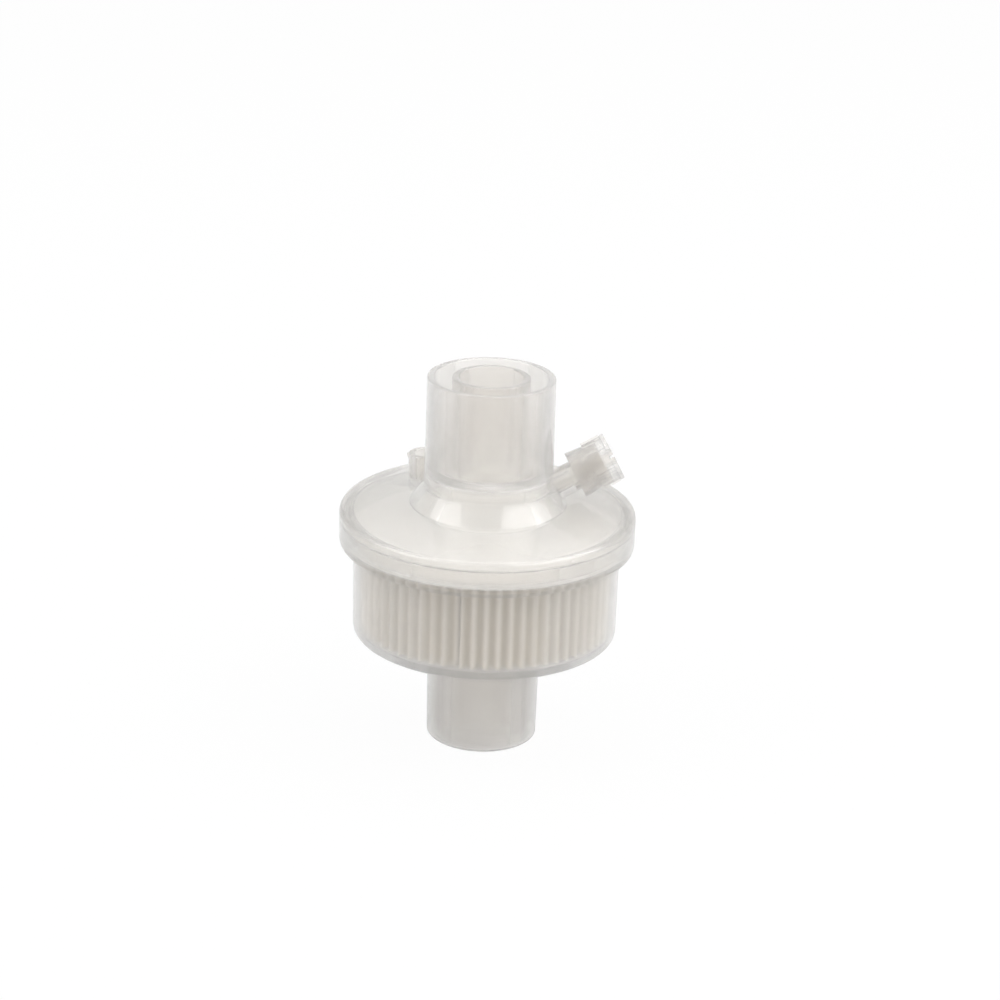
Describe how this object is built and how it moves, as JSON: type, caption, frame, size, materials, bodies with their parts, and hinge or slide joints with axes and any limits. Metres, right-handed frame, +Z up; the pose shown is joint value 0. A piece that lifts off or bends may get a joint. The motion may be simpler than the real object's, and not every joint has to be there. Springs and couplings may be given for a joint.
{
  "type": "breathing circuit filter",
  "caption": "Round heat and moisture exchanging filter for a breathing circuit, with coaxial conical ports, a capped sampling port and a cap post.",
  "frame": {"origin": "centre of the lower port's end face, on which the filter stands", "axes": "+Z up the shared axis of both ports; the sampling port leaves towards +X, 9 degrees round to +Y"},
  "size_m": [0.0582, 0.0582, 0.075],
  "materials": {
    "shell": "natural polypropylene, moulded, semi-clear with a soft gloss",
    "electret": "white nonwoven electret fleece",
    "paper": "cream corrugated paper",
    "cap": "natural polypropylene, moulded, semi-clear"
  },
  "bodies": {
    "filter_body": {"upper_housing": "shell", "lower_housing": "shell", "filter_disc": "electret", "hme_paper_roll": "paper"},
    "cap": {"luer_cap": "cap"}
  },
  "joints": [
    {"name": "cap_lift", "type": "slide", "parent": "filter_body", "child": "cap", "axis": [0.8737, 0.1384, 0.4664], "range_m": [0, 0.014]}
  ]
}
